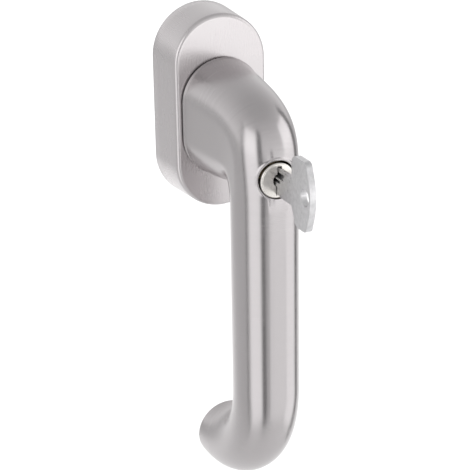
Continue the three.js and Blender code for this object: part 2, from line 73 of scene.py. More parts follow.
_, rose_high = extent("rose_cover")
plug_low, plug_high = extent("lock_plug")
key_low, key_high = extent("key")
_, plate_high = extent("base_plate")

SHARP = 30  # Edges over this many degrees are shaded crisp.
PAST = 1  # How far a cutter reaches past what it cuts.
PIN_HOLE = 2.3

ROSE_DEPTH = rose_high.y
ROSE_BACK_HALF = (rose_high.x, rose_high.z)
ROSE_DRAFT = 0.95
ROSE_WALL = 1.6
ROSE_FILLET = 1.3
ROSE_BACK_EDGE = 0.3
ROSE_OPENING = 6.4
ROSE_POINTS = 224

GRIP_RADIUS = 10.75
GRIP_FORWARD = 49.15
NECK_HALF_W = 13.88
NECK_HALF_H = 19.44
NECK_Z = -1.26
NECK_FRONT = ROSE_DEPTH + 0.3
NECK_LIFT = 0.42
NECK_EDGE = 0.4
NECK_LIP = 0.14
NECK_TAPER = 3.2
# The neck's outlines as Bezier curves: the z they end at on the grip, how far each end's handle
# reaches, and the slope in radians they leave the rose with.
UPPER_END, UPPER_REACH, UPPER_RISE, UPPER_SLOPE = -15.9, 30.5, 29.9, 0.12
LOWER_END, LOWER_REACH, LOWER_RISE, LOWER_SLOPE = -20, 22, 5.3, 0.04
GRIP_START = -20.2
BEND_RADIUS = 29.64
BEND_START = -84.6
BEND_ANGLE = radians(94.5)
BEND_STUB = 2.0
END_FILLET = 2.8

LOCK_Z = (plug_low.z + plug_high.z) / 2
PLUG_FORWARD = 0.35  # How far the plug's face stands in front of the CAD's.
LOCK_FACE = plug_high.y + PLUG_FORWARD
LOCK_BORE = 6.1
BORE_RISE = 0.3
LOCK_FLOOR = 23.0
# The collar's crest: how far forward it is at the lock, how it leans with z, and its crown.
CREST_FORWARD = 58.95
CREST_LEAN = 0.13
CREST_RADIUS = 9.5
COLLAR_RADIUS = 6.3
COLLAR_SOFTNESS = 0.25
COLLAR_LIP = 0.2
COLLAR_SPREAD = 8.4
MOUTH_ROUNDING = 0.3
MOUTH_WIDTH = 0.5
LIP_WIDTH = 0.6
LIP_FADE = 0.35

PLUG_RADIUS = 5.7
PLUG_EDGE = 0.7

KEY_HALF = (key_high.x - key_low.x) / 2
BOW_BACK = 70.6
BOW_FRONT = key_high.y
BOW_HALF_H = (key_high.z - key_low.z) / 2

SCREW_Z = 21.5


# ---- Mesh helpers ----------------------------------------------------------------------------


def in_scene(name, data):
    """A new object that shows the data."""
    obj = bpy.data.objects.new(name, data)
    bpy.context.scene.collection.objects.link(obj)
    return obj


def new_object(name, verts, faces, sharp=SHARP):
    """A smooth-shaded object from vertices in metres, with edges over sharp degrees kept crisp."""
    mesh = bpy.data.meshes.new(name)
    mesh.from_pydata([tuple(v) for v in verts], [], faces)
    mesh.validate()
    obj = in_scene(name, mesh)
    outward(obj)
    shade(obj, sharp)
    return obj


def outward(obj):
    """Turns every face's normal outward."""
    bm = bmesh.new()
    bm.from_mesh(obj.data)
    bmesh.ops.recalc_face_normals(bm, faces=bm.faces)
    bm.to_mesh(obj.data)
    bm.free()


def shade(obj, sharp):
    obj.data.polygons.foreach_set("use_smooth", [True] * len(obj.data.polygons))
    obj.data.set_sharp_from_angle(angle=radians(sharp))


def settle(obj, sharp=SHARP):
    """Applies the object's modifiers to its mesh."""
    bpy.context.view_layer.update()
    depsgraph = bpy.context.evaluated_depsgraph_get()
    mesh = bpy.data.meshes.new_from_object(obj.evaluated_get(depsgraph), depsgraph=depsgraph)
    obj.modifiers.clear()
    obj.data = mesh
    shade(obj, sharp)
    return obj


def combine(obj, tools, operation, sharp=SHARP):
    """Joins or cuts obj with each tool, and removes the tools."""
    for tool in tools:
        modifier = obj.modifiers.new("solid", "BOOLEAN")
        modifier.operation = operation
        modifier.object = tool
        modifier.solver = "EXACT"
    settle(obj, sharp)
    for tool in tools:
        bpy.data.objects.remove(tool)
    return obj


def cut(obj, *tools, sharp=SHARP):
    return combine(obj, tools, "DIFFERENCE", sharp)


def join(obj, *tools, sharp=SHARP):
    return combine(obj, tools, "UNION", sharp)


def bevel(obj, width, segments):
    modifier = obj.modifiers.new("edges", "BEVEL")
    modifier.width = width * MM
    modifier.segments = segments
    modifier.limit_method = "ANGLE"
    modifier.angle_limit = radians(SHARP)
    return settle(obj)


def flatten(obj):
    """Weights the normals by face area, so that flat faces stay flat beside their bevels."""
    modifier = obj.modifiers.new("normals", "WEIGHTED_NORMAL")
    modifier.weight = 100
    modifier.keep_sharp = True
    return settle(obj)


def skin(name, rings, caps=True, sharp=SHARP):
    """A skin over rings of equally many points, with a UV map that runs along and round it."""
    count = len(rings[0])
    verts = [p for ring in rings for p in ring]
    faces = []
    for k in range(len(rings) - 1):
        for i in range(count):
            j = (i + 1) % count
            faces.append((k * count + i, k * count + j, (k + 1) * count + j, (k + 1) * count + i))
    if caps:
        last = (len(rings) - 1) * count
        faces.append(tuple(range(count)))
        faces.append(tuple(range(last, last + count)))
    obj = new_object(name, verts, faces, sharp)
    brush_map(obj, rings)
    return obj


def brush_map(obj, rings):
    """UVs in metres: u along the middle of the rings, v round them, with the seam at the back."""
    count = len(rings[0])
    half = count // 2
    middles = [sum(ring, Vector()) / count for ring in rings]
    along = [0.0]
    for a, b in zip(middles, middles[1:]):
        along.append(along[-1] + (b - a).length)
    layer = obj.data.uv_layers.new(name="brush")
    girth = 2 * pi * GRIP_RADIUS * MM
    for polygon in obj.data.polygons:
        spots = [divmod(v, count) for v in polygon.vertices]
        spots = [(k, (i + half) % count) for k, i in spots]
        wraps = max(i for _, i in spots) - min(i for _, i in spots) > half
        for loop, (k, i) in zip(polygon.loop_indices, spots):
            turn = i / count + (1 if wraps and i < half else 0)
            layer.data[loop].uv = (along[k], turn * girth)


def turned(name, profile, segments=96, z=0.0):
    """A solid of revolution about a forward axis at height z, from (radius, forward) points."""
    bm = bmesh.new()
    verts = [bm.verts.new(point(r, f, z)) for r, f in profile]
    for a, b in zip(verts, verts[1:]):
        bm.edges.new((a, b))
    starts_and_ends_on_axis = profile[0][0] == 0 and profile[-1][0] == 0
    if not starts_and_ends_on_axis:
        bm.edges.new((verts[-1], verts[0]))
    bmesh.ops.spin(
        bm, geom=bm.verts[:] + bm.edges[:], cent=point(0, 0, z), axis=(0, 1, 0),
        angle=2 * pi, steps=segments, use_merge=True,
    )
    bmesh.ops.remove_doubles(bm, verts=bm.verts, dist=1e-7)
    bmesh.ops.recalc_face_normals(bm, faces=bm.faces)
    mesh = bpy.data.meshes.new(name)
    bm.to_mesh(mesh)
    bm.free()
    obj = in_scene(name, mesh)
    shade(obj, SHARP)
    return obj


def rod(name, radius, back, front, segments=96, z=0.0):
    """A cylinder about a forward axis at height z."""
    return turned(name, [(0, back), (radius, back), (radius, front), (0, front)], segments, z)


def block(name, x, forward, z):
    """A box between the given pairs of x, forward and z."""
    corners = [point(a, b, c) for a in x for b in forward for c in z]
    faces = [(0, 1, 3, 2), (4, 6, 7, 5), (0, 4, 5, 1), (2, 3, 7, 6), (0, 2, 6, 4), (1, 5, 7, 3)]
    return new_object(name, corners, faces)


def rod_across(name, radius, half, forward, z):
    """A cylinder that lies along X."""
    rings = [
        [point(x, forward + radius * cos(a), z + radius * sin(a)) for a in turns(32)]
        for x in (-half, half)
    ]
    return skin(name, rings)


def turns(count):
    """Evenly spaced angles once round."""
    return [2 * pi * i / count for i in range(count)]


def rounded(steps):
    """How far each step round a corner of radius 1 lies short of its end, and in from its side."""
    angles = [pi / 2 * i / steps for i in range(steps + 1)]
    return [(1 - sin(a), 1 - cos(a)) for a in angles]


def oval(half_w, half_h, count):
    """Points of an upright oval, evenly spaced along it, clockwise from its top."""
    cap = min(half_w, half_h)
    straight = max(half_h - cap, 0)
    arc = pi / 2 * cap
    length = 2 * straight + 2 * arc
    points = []
    for i in range(count):
        s = (i + 0.5) / count * 2 * length
        side = 1 if s < length else -1
        s = s if s < length else s - length
        if s < arc:
            a = s / cap
            x, y = cap * sin(a), straight + cap * cos(a)
        elif s < arc + 2 * straight:
            x, y = cap, straight - (s - arc)
        else:
            a = (s - arc - 2 * straight) / cap
            x, y = cap * cos(a), -straight - cap * sin(a)
        points.append((side * x * half_w / cap, side * y))
    return points


def section(centre, up, half_w, half_h, count):
    """A ring of oval points in the plane of X and the direction up, both given as (forward, z)."""
    return [
        point(x, centre[0] + up[0] * h, centre[1] + up[1] * h)
        for x, h in oval(half_w, half_h, count)
    ]


def bezier(p, t):
    s = 1 - t
    weights = (s**3, 3 * s * s * t, 3 * s * t * t, t**3)
    return sum((Vector(q) * w for q, w in zip(p, weights)), Vector((0, 0)))


# ---- Materials -------------------------------------------------------------------------------


class Nodes:
    """Short calls for building one material's node tree."""

    def __init__(self, name):
        self.material = bpy.data.materials.new(name)
        self.material.use_nodes = True
        self.tree = self.material.node_tree
        self.shader = self.tree.nodes["Principled BSDF"]

    def add(self, kind, **settings):
        node = self.tree.nodes.new(kind)
        for name, value in settings.items():
            setattr(node, name, value)
        return node

    def link(self, a, b):
        self.tree.links.new(a, b)

    def noise(self, vector, scale, detail=3.0, roughness=0.5):
        node = self.add("ShaderNodeTexNoise")
        node.inputs["Scale"].default_value = scale
        node.inputs["Detail"].default_value = detail
        node.inputs["Roughness"].default_value = roughness
        self.link(vector, node.inputs["Vector"])
        return node.outputs["Fac"]

    def stretched(self, vector, scale, rotation=(0, 0, 0)):
        node = self.add("ShaderNodeMapping")
        node.inputs["Scale"].default_value = scale
        node.inputs["Rotation"].default_value = rotation
        self.link(vector, node.inputs["Vector"])
        return node.outputs["Vector"]

    def spread(self, value, low, high, from_low=0.3, from_high=0.7):
        node = self.add("ShaderNodeMapRange")
        node.inputs["From Min"].default_value = from_low
        node.inputs["From Max"].default_value = from_high
        node.inputs["To Min"].default_value = low
        node.inputs["To Max"].default_value = high
        self.link(value, node.inputs["Value"])
        return node.outputs["Result"]

    def colour(self, value, dark, light):
        """Drives the base colour from dark to light."""
        node = self.add("ShaderNodeMix", data_type="RGBA")
        node.inputs["A"].default_value = (*dark, 1)
        node.inputs["B"].default_value = (*light, 1)
        self.link(value, node.inputs["Factor"])
        self.link(node.outputs["Result"], self.shader.inputs["Base Color"])

    def sum(self, a, b, weight):
        """a + b * weight"""
        node = self.add("ShaderNodeMath", operation="MULTIPLY_ADD")
        node.inputs[1].default_value = weight
        self.link(b, node.inputs[0])
        self.link(a, node.inputs[2])
        return node.outputs[0]

    def set(self, **values):
        """Sets the shader's plain inputs, with _ for the spaces in their names."""
        for name, value in values.items():
            self.shader.inputs[name.replace("_", " ")].default_value = value

    def bump(self, height, strength, distance):
        node = self.add("ShaderNodeBump")
        node.inputs["Strength"].default_value = strength
        node.inputs["Distance"].default_value = distance
        self.link(height, node.inputs["Height"])
        self.link(node.outputs["Normal"], self.shader.inputs["Normal"])


def tone(colour, factor):
    return tuple(c * factor for c in colour)


def brushed_metal(
    name, colour, roughness, lines, anisotropy=0.0, uv=False, streak=0.05, bump=0.12, wear=0.15,
):
    """Metal with fine lines.

    lines gives how often they vary along each axis, in cycles a metre. streak and wear are how
    much of the colour and of the roughness they vary.
    """
    n = Nodes(name)
    coords = n.add("ShaderNodeTexCoord").outputs["UV" if uv else "Object"]
    fine = n.noise(n.stretched(coords, lines), 1.0, 4.0, 0.65)
    cloudy = n.noise(coords, 45.0, 3.0)
    n.colour(n.spread(fine, 0.0, 1.0), tone(colour, 1 - streak), tone(colour, 1 + streak))
    worn = n.spread(fine, roughness * (1 - wear), roughness * (1 + wear))
    rough = n.sum(worn, n.spread(cloudy, -0.5, 0.5), roughness * 0.18)
    n.link(rough, n.shader.inputs["Roughness"])
    n.set(Metallic=1.0, Anisotropic=anisotropy)
    if uv:
        tangent = n.add("ShaderNodeTangent", direction_type="UV_MAP", uv_map="brush")
        n.link(tangent.outputs["Tangent"], n.shader.inputs["Tangent"])
    n.bump(fine, bump, 0.00004)
    return n.material


def cast_metal(name, colour, roughness):
    """Fine-grained die-cast skin with faint flow marks."""
    n = Nodes(name)
    coords = n.add("ShaderNodeTexCoord").outputs["Object"]
    grain = n.noise(coords, 2600.0, 4.0, 0.6)
    flow = n.noise(n.stretched(coords, (60, 60, 160)), 1.0, 3.0)
    n.colour(n.spread(flow, 0.0, 1.0), tone(colour, 0.86), tone(colour, 1.1))
    rough = n.sum(n.spread(grain, roughness - 0.08, roughness + 0.08), flow, 0.1)
    n.link(rough, n.shader.inputs["Roughness"])
    n.set(Metallic=1.0)
    n.bump(grain, 0.35, 0.00008)
    return n.material


def moulded_plastic(name, colour, roughness):
    """Plastic with a fine spark-eroded grain."""
    n = Nodes(name)
    coords = n.add("ShaderNodeTexCoord").outputs["Object"]
    grain = n.noise(coords, 1800.0, 3.0)
    cloudy = n.noise(coords, 120.0, 2.0)
    n.colour(n.spread(cloudy, 0.0, 1.0), tone(colour, 0.94), tone(colour, 1.03))
    n.link(n.spread(grain, roughness - 0.06, roughness + 0.06), n.shader.inputs["Roughness"])
    n.set(Subsurface_Weight=0.05)
    n.bump(grain, 0.2, 0.00004)
    return n.material


STEEL = (0.567, 0.541, 0.547)

MATERIALS = {
    # The lever's: its lines follow the UV map.
    "satin_steel": brushed_metal(
        "satin_steel", STEEL, 0.24, (5200, 60, 1), anisotropy=0.5, uv=True, bump=0.1,
    ),
    "rose_steel": brushed_metal(
        "rose_steel", tone(STEEL, 1.16), 0.28, (5200, 50, 50), streak=0.006, bump=0.005, wear=0.05,
    ),
    "nickel_face": brushed_metal(
        "nickel_face", (0.83, 0.8, 0.76), 0.24, (900, 900, 900), streak=0.06,
    ),
    "nickel_key": brushed_metal(
        "nickel_key", (0.72, 0.715, 0.725), 0.33, (800, 800, 700), streak=0.11, bump=0.8,
    ),
    "die_cast_zinc": cast_metal("die_cast_zinc", (0.52, 0.52, 0.53), 0.42),
    "plated_steel": brushed_metal("plated_steel", (0.62, 0.63, 0.65), 0.24, (300, 4000, 300)),
    "hardened_steel": brushed_metal(
        "hardened_steel", (0.46, 0.46, 0.47), 0.3, (2000, 2000, 300), streak=0.07,
    ),
    "spring_steel": brushed_metal(
        "spring_steel", (0.3, 0.31, 0.34), 0.28, (800, 3000, 800), streak=0.08,
    ),
    "brass": brushed_metal("brass", (0.72, 0.58, 0.3), 0.28, (400, 4000, 400)),
    "nylon": moulded_plastic("nylon", (0.82, 0.81, 0.77), 0.45),
    # Painted shade: near black for the ring at the neck's foot, which darkens the seam.
    "seam_shade_black": moulded_plastic("seam_shade_black", (0.02, 0.02, 0.021), 0.5),
}


def finish(obj, name):
    """Gives an object one material only."""
    obj.data.materials.clear()
    obj.data.materials.append(MATERIALS[name])


def dress(obj, material, body, stands_for=()):
    """Gives a piece its material and its body, and hides the CAD nodes it stands for."""
    finish(obj, material)
    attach(obj, body)
    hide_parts(*stands_for)


# ---- Rose cover ------------------------------------------------------------------------------


def rose_ring(forward, inset):
    """The rose's outline at a height over the window, drafted towards the front."""
    swell = -ROSE_DRAFT * forward / ROSE_DEPTH - inset
    half_w, half_h = ROSE_BACK_HALF
    return section((forward, 0), (0, 1), half_w + swell, half_h + swell, ROSE_POINTS)


def rose_cover():
    """The oval cap, hollow behind, with the lever's opening and the locking pin's two holes."""
    edge = ROSE_BACK_EDGE
    rings = [rose_ring(0, edge), rose_ring(edge * 0.3, edge * 0.3), rose_ring(edge, 0)]
    rings += [rose_ring(f, 0) for f in (4, 8, 12)]
    for short, inset in rounded(10):
        rings.append(rose_ring(ROSE_DEPTH - ROSE_FILLET * short, ROSE_FILLET * inset))
    # Rings across the flat front keep its long faces small, so that it stays perfectly flat.
    rings += [rose_ring(ROSE_DEPTH, ROSE_FILLET + inset) for inset in (0.5, 3.0, 8.0)]
    cover = skin("rose_cover_shell", rings)
    inside, corner = ROSE_DEPTH - ROSE_WALL, 0.6
    hollow = skin("hollow", [
        rose_ring(-PAST, ROSE_WALL),
        rose_ring(inside - corner, ROSE_WALL),
        rose_ring(inside, ROSE_WALL + corner),
    ])
    through = (inside - PAST, ROSE_DEPTH + PAST)
    opening = rod("opening", ROSE_OPENING, *through)
    holes = [rod("hole", PIN_HOLE, *through, 48, z) for z in (LOCK_Z, -LOCK_Z)]
    cut(cover, hollow, opening, *holes)
    dress(cover, "rose_steel", "rose", ["rose_cover"])


# ---- Lever -----------------------------------------------------------------------------------

LEVER_POINTS = 320
LEVER_SHARP = 40
JOURNAL_RADIUS = 6
JOURNAL_BACK = 9.9
JOURNAL_CHAMFER = 0.4
SOCKET_HALF = 3.55
SOCKET_DEPTH = (5, 21.8)
PIN_HOLE_BACK = 12


def neck_edges():
    """The neck's upper and lower outlines in the X = 0 plane, as Bezier points (forward, z)."""
    top, under = NECK_Z + NECK_HALF_H, NECK_Z - NECK_HALF_H
    outside, inside = GRIP_FORWARD + GRIP_RADIUS, GRIP_FORWARD - GRIP_RADIUS
    upper = [
        (NECK_FRONT, top),
        (NECK_FRONT + UPPER_REACH, top - UPPER_REACH * tan(UPPER_SLOPE)),
        (outside, UPPER_END + UPPER_RISE),
        (outside, UPPER_END),
    ]
    lower = [
        (NECK_FRONT, under),
        (NECK_FRONT + LOWER_REACH, under + LOWER_REACH * tan(LOWER_SLOPE)),
        (inside, LOWER_END + LOWER_RISE),
        (inside, LOWER_END),
    ]
    return upper, lower


def neck_ring(t, inset=0.0):
    """The neck's section at t, from 0 at the rose to 1 at the grip."""
    upper, lower = neck_edges()
    high, low = bezier(upper, t), bezier(lower, t)
    centre, half = (high + low) / 2, (high - low).length / 2
    up = (high - low).normalized()
    half_w = GRIP_RADIUS + (NECK_HALF_W - GRIP_RADIUS) * (1 - t) ** NECK_TAPER
    return section(centre, up, half_w - inset, half - inset, LEVER_POINTS)


def bend_ring(angle, past=0.0, radius=GRIP_RADIUS):
    """The return bend's section at an angle round it, or past it on its straight stub."""
    centre = (
        GRIP_FORWARD - BEND_RADIUS + BEND_RADIUS * cos(angle) - past * sin(angle),
        BEND_START - BEND_RADIUS * sin(angle) - past * cos(angle),
    )
    return section(centre, (cos(angle), -sin(angle)), radius, radius, LEVER_POINTS)


def straight_ring(z):
    return section((GRIP_FORWARD, z), (1, 0), GRIP_RADIUS, GRIP_RADIUS, LEVER_POINTS)


def smooth(t):
    """An eased step from 0 to 1, flat outside that range."""
    t = min(max(t, 0.0), 1.0)
    return t * t * (3 - 2 * t)


def swell_round_lock(p):
    """Raises a point of the lever's front to the crowned collar round the lock."""
    x, forward, z = p.x / MM, -p.y / MM, p.z / MM
    r = hypot(x, z - LOCK_Z - BORE_RISE)
    if forward < GRIP_FORWARD or r > COLLAR_SPREAD:
        return p
    crest = CREST_FORWARD - CREST_LEAN * (z - LOCK_Z) - x * x / (2 * CREST_RADIUS)
    share = 1 - smooth((r - COLLAR_RADIUS) / (COLLAR_SPREAD - COLLAR_RADIUS))
    rise = crest - forward
    rise = (rise + hypot(rise, COLLAR_SOFTNESS)) / 2
    rounding = MOUTH_ROUNDING * (1 - smooth((r - LOCK_BORE) / MOUTH_WIDTH)) ** 2
    lip_edge = 1 - smooth((r - LOCK_BORE - LIP_WIDTH) / LIP_FADE)
    lip = COLLAR_LIP * lip_edge * smooth((z - LOCK_Z + LOCK_BORE) / LOCK_BORE)
    return point(x, forward + rise * share + lip - rounding, z)


def neck_rings():
    """The rounded edge at the neck's foot, a faint lip in front of it, and the neck."""
    rings = []
    for short, inset in rounded(6):
        lift = NECK_LIFT + NECK_EDGE * inset
        ring = neck_ring(0, NECK_EDGE * short)
        rings.append([p - Vector((0, lift * MM, 0)) for p in ring])
    before_lip, lip_start, lip_length, middle = 0.014, 0.0165, 0.3, 0.7
    rings.append(neck_ring(before_lip))
    for t in np.linspace(lip_start, middle, 100)[:-1]:
        rings.append(neck_ring(t, NECK_LIP * (1 - smooth(t / lip_length))))
    return rings + [neck_ring(t) for t in np.linspace(middle, 1, 110)]


def grip_rings():
    """The straight grip, the return bend and its rounded end."""
    rings = [straight_ring(z) for z in np.linspace(GRIP_START, BEND_START, 60)[:-1]]
    rings += [bend_ring(BEND_ANGLE * i / 72) for i in range(73)]
    for short, inset in rounded(10):
        past = BEND_STUB - END_FILLET * short
        rings.append(bend_ring(BEND_ANGLE, past, GRIP_RADIUS - END_FILLET * inset))
    return rings


def lever():
    """Neck, grip and bend in one skin, with the journal behind and the lock's bore in front."""
    rings = [[swell_round_lock(p) for p in ring] for ring in neck_rings() + grip_rings()]
    body = skin("lever_body", rings, sharp=LEVER_SHARP)
    inside_neck = NECK_FRONT + 2
    journal = turned("journal", [
        (0, JOURNAL_BACK),
        (JOURNAL_RADIUS - JOURNAL_CHAMFER, JOURNAL_BACK),
        (JOURNAL_RADIUS, JOURNAL_BACK + JOURNAL_CHAMFER),
        (JOURNAL_RADIUS, inside_neck),
        (0, inside_neck),
    ])
    join(body, journal, sharp=LEVER_SHARP)
    clear_of_lever = 70
    bore = rod("bore", LOCK_BORE, LOCK_FLOOR, clear_of_lever, 128, LOCK_Z + BORE_RISE)
    pin_hole = rod("pin_hole", PIN_HOLE, PIN_HOLE_BACK, LOCK_FLOOR + PAST, 48, LOCK_Z)
    across = (-SOCKET_HALF, SOCKET_HALF)
    socket = block("socket", across, SOCKET_DEPTH, across)
    cut(body, bore, pin_hole, socket, sharp=LEVER_SHARP)
    dress(body, "satin_steel", "handle", ["lever"])


def neck_seam_shade_ring():
    """A black ring at the neck's foot: painted shade that darkens the seam between neck and rose.
    """
    low, high = ROSE_DEPTH + 0.05, NECK_FRONT + NECK_LIFT
    outer, inner = [neck_ring(0, inset) for inset in (0.5, 3.0)]
    rings = [
        [p + Vector((0, (NECK_FRONT - f) * MM, 0)) for p in ring]
        for ring, f in ((inner, low), (outer, low), (outer, high), (inner, high))
    ]
    ring = skin("neck_seam_shade_ring", rings + rings[:1], caps=False)
    dress(ring, "seam_shade_black", "handle")


# ---- Lock plug -------------------------------------------------------------------------------


KEYWAY_BACK = 43
MOUTH_BACK = 57.6
CLIP_GROOVE = (39.95, 40.85)
WAFER_FORWARDS = (45, 47.4, 49.8, 52.2, 54.6)


def plug_profile():
    """Tail, groove for the clip, barrel and a slightly wider head with a rounded edge."""
    tail, neck, groove, barrel, head_back = 1.45, 4.1, 3.4, 5.2, 56.7
    groove_back, groove_front = CLIP_GROOVE
    profile = [
        (0, 32), (tail, 32), (tail, 39.6), (neck, 39.6), (neck, groove_back), (groove, groove_back),
        (groove, groove_front), (neck, groove_front), (neck, 42.7), (barrel, 42.7),
        (barrel, head_back), (PLUG_RADIUS, head_back),
    ]
    for short, inset in rounded(8):
        edge = (PLUG_RADIUS - PLUG_EDGE * inset, LOCK_FACE - PLUG_EDGE * 0.8 * short)
        profile.append(edge)
    return profile + [(0, LOCK_FACE)]


def lock_plug():
    """The plug, cut by a stepped keyway with wider mouths, five wafer slots and the pin's hole."""
    plug = turned("lock_plug_body", plug_profile(), 128, LOCK_Z)
    z = LOCK_Z
    front = LOCK_FACE + PAST
    deep, mouth = (KEYWAY_BACK, front), (MOUTH_BACK, front)
    high_side, low_side = (-0.25, 1.3), (-0.8, 0.4)
    tools = [
        block("keyway", high_side, deep, (z + 1.6, z + 3.7)),
        block("keyway_mouth", high_side, mouth, (z + 2.5, z + 4.45)),
        block("keyway_low", low_side, deep, (z - 3.7, z)),
        block("keyway_low_mouth", low_side, mouth, (z - 4.4, z)),
    ]
    bulge = rod("keyway_bulge", 2.2, *deep, 48, z + 0.1)
    bulge.location.x = 0.5 * MM
    tools += [bulge, rod_across("pin_hole", 0.7, 4, 33, z)]
    tools += [
        block("wafer_slot", (-1.85, 1.85), (f - 0.6, f + 0.6), (z - 4.85, z + 4.85))
        for f in WAFER_FORWARDS
    ]
    flatten(cut(plug, *tools))
    dress(plug, "nickel_face", "plug", ["lock_plug"])


def lock_housing():
    """The brass sleeve round the plug, which stops short of the collar: the gap stays dark."""
    outer, inner, collar = 6.3, 5.3, 4.2
    back, front, collar_back, collar_front = 23.3, 47.0, 41.0, 42.5
    sleeve = turned("lock_housing_sleeve", [
        (6.0, back), (outer, back + 0.3), (outer, front - 0.4), (outer - 0.4, front),
        (inner, front), (inner, collar_front), (collar, collar_front), (collar, collar_back),
        (inner, collar_back), (inner, back),
    ], 96, LOCK_Z)
    dress(sleeve, "brass", "handle", ["lock_housing"])


# ---- Key -------------------------------------------------------------------------------------


BOW_RISE = 1
BOW_HOLE = (79.4, 2.7)
SHANK_BACK = 58.2
SHANK_HALF_H = 4.15
BLADE = (43.6, 59)
BLADE_HALF_H = 3.5
GROOVE_BACK = 40


def arc(centre, radius, start, end, steps):
    """Points of an arc between two angles."""
    sweep = [start + (end - start) * i / steps for i in range(steps + 1)]
    return [(centre[0] + radius * cos(a), centre[1] + radius * sin(a)) for a in sweep]


def key():
    """A flat blade with milled grooves, a wider shank and an upright bow with a hole."""
    z = LOCK_Z
    bow_z = z + BOW_RISE
    bow = plate("key_blank", bow_outline(BOW_BACK, BOW_FRONT, BOW_HALF_H, bow_z), KEY_HALF)
    hole_forward, hole_radius = BOW_HOLE
    cut(bow, circle_prism("hole", (hole_forward, bow_z), hole_radius, KEY_HALF + PAST))
    bevel(bow, 0.4, 4)
    thickness = (-KEY_HALF, KEY_HALF)
    tall = (z - SHANK_HALF_H, z + SHANK_HALF_H)
    shank = block("shank", thickness, (SHANK_BACK, BOW_BACK + PAST), tall)
    blade = block("blade", thickness, BLADE, (z - BLADE_HALF_H, z + BLADE_HALF_H))
    join(shank, blade)
    outside = -KEY_HALF - PAST
    tools = [
        slanted_cut("upper_rebate", outside, 0.0, 66.0, (z + 2.7, z + 5)),
        slanted_cut("upper_groove", outside, 0.55, 64.8, (z + 1.55, z + 2.85)),
        slanted_cut("lower_groove", outside, 0.2, 62.6, (z + 0.1, z + 1.05)),
        slanted_cut("low_left", outside, -0.62, 63.0, (z - 5, z - 1.3)),
        slanted_cut("low_right", 0.2, -outside, 63.0, (z - 5, z - 1.9)),
    ]
    cut(shank, *tools)
    bevel(shank, 0.1, 2)
    flatten(join(bow, shank))
    dress(bow, "nickel_key", "key", ["key"])


def slanted_cut(name, low, high, end, z):
    """A cutter for a groove between two x, along the key up to a slanted end."""
    near, far = (high, low) if low < -KEY_HALF else (low, high)
    run_out = ((near, GROOVE_BACK), (near, end - 0.8), (far, end + 0.5), (far, GROOVE_BACK))
    corners = [point(x, f, zz) for zz in z for x, f in run_out]
    faces = [(0, 1, 2, 3), (7, 6, 5, 4), (0, 4, 5, 1), (1, 5, 6, 2), (2, 6, 7, 3), (3, 7, 4, 0)]
    return new_object(name, corners, faces)


def bow_outline(back, front, half_h, mid):
    """The bow's outline as (forward, z): bulged front and back edges, rounded corners."""
    corner, top_corner, bulge, back_bulge = 2.2, 2.8, 2.2, 1.8
    steps, bulge_steps = 8, 16
    top, bottom = mid + half_h, mid - half_h
    front_edge, back_edge = front - bulge, back + back_bulge
    tilt, back_tilt = radians(12), radians(8)
    points = arc((front_edge - corner, top - corner), corner, pi / 2, tilt, steps)
    for i in range(1, bulge_steps):
        s = 1 - 2 * i / bulge_steps
        bulged = front_edge + (front - front_edge) * (1 - s * s)
        points.append((bulged, mid + s * (half_h - corner)))
    points += arc((front_edge - corner, bottom + corner), corner, -tilt, -pi / 2, steps)
    points += arc((back_edge + corner, bottom + corner), corner, -pi / 2, -pi + back_tilt, steps)
    points += [(back, mid - half_h / 2), (back, top - 3.4)]
    upper_middle = (back + top_corner, top - top_corner)
    return points + arc(upper_middle, top_corner, pi - back_tilt, pi / 2, steps)


def plate(name, outline, half):
    """A flat plate in the X = 0 plane from an outline of (forward, z) points."""
    count = len(outline)
    verts = [point(x, f, z) for x in (-half, half) for f, z in outline]
    faces = [tuple(range(count)), tuple(range(2 * count - 1, count - 1, -1))]
    faces += [(i, (i + 1) % count, count + (i + 1) % count, count + i) for i in range(count)]
    return new_object(name, verts, faces)


def circle_prism(name, centre, radius, half):
    """A round plate in the X = 0 plane."""
    outline = [(centre[0] + radius * cos(a), centre[1] + radius * sin(a)) for a in turns(64)]
    return plate(name, outline, half)


# ---- Pieces that show at the back ------------------------------------------------------------

PLATE_THICK = 4.0
PLATE_EDGE = 0.4
PLATE_POINTS = 128
JOINED = 3  # Hub and bosses start this far forward, inside the plate.
HUB_HALF = (12.5, 17.5)
HUB_FRONT = 13.0
CHAMBER_RADIUS, CHAMBER_FRONT, CHAMBER_FLARE = 9.3, 10.0, 1.3
BUSH_RADIUS, BUSH_BACK = 7.7, 9
CHANNEL_RADIUS, CHANNEL_HALF, CHANNEL_FORWARD = 1.95, 15.7, 7.2
MARK_RADIUS, MARK_DEPTH, MARK_Z = 1.3, 0.15, 13.2
PEG_RADIUS, PEG_FRONT, PEG_X = 1.2, 14.8, 10.2
SPIGOT_RADIUS, SPIGOT_BACK = 5.0, -9.0
BOSS_RADIUS, BOSS_FRONT = 5.2, 8.0
SCREW_BORE = 2.8
HEAD_RADIUS = 4.6
HEAD_FRONT = 7.8
SCREW_RADIUS = 2.5
SCREW_POINTS = 40
THREAD_PITCH = 0.8
THREAD_DEPTH = 0.42
THREAD_LENGTH = 16.0


def base_ring(forward, inset, half):
    return section((forward, 0), (0, 1), half[0] - inset, half[1] - inset, PLATE_POINTS)


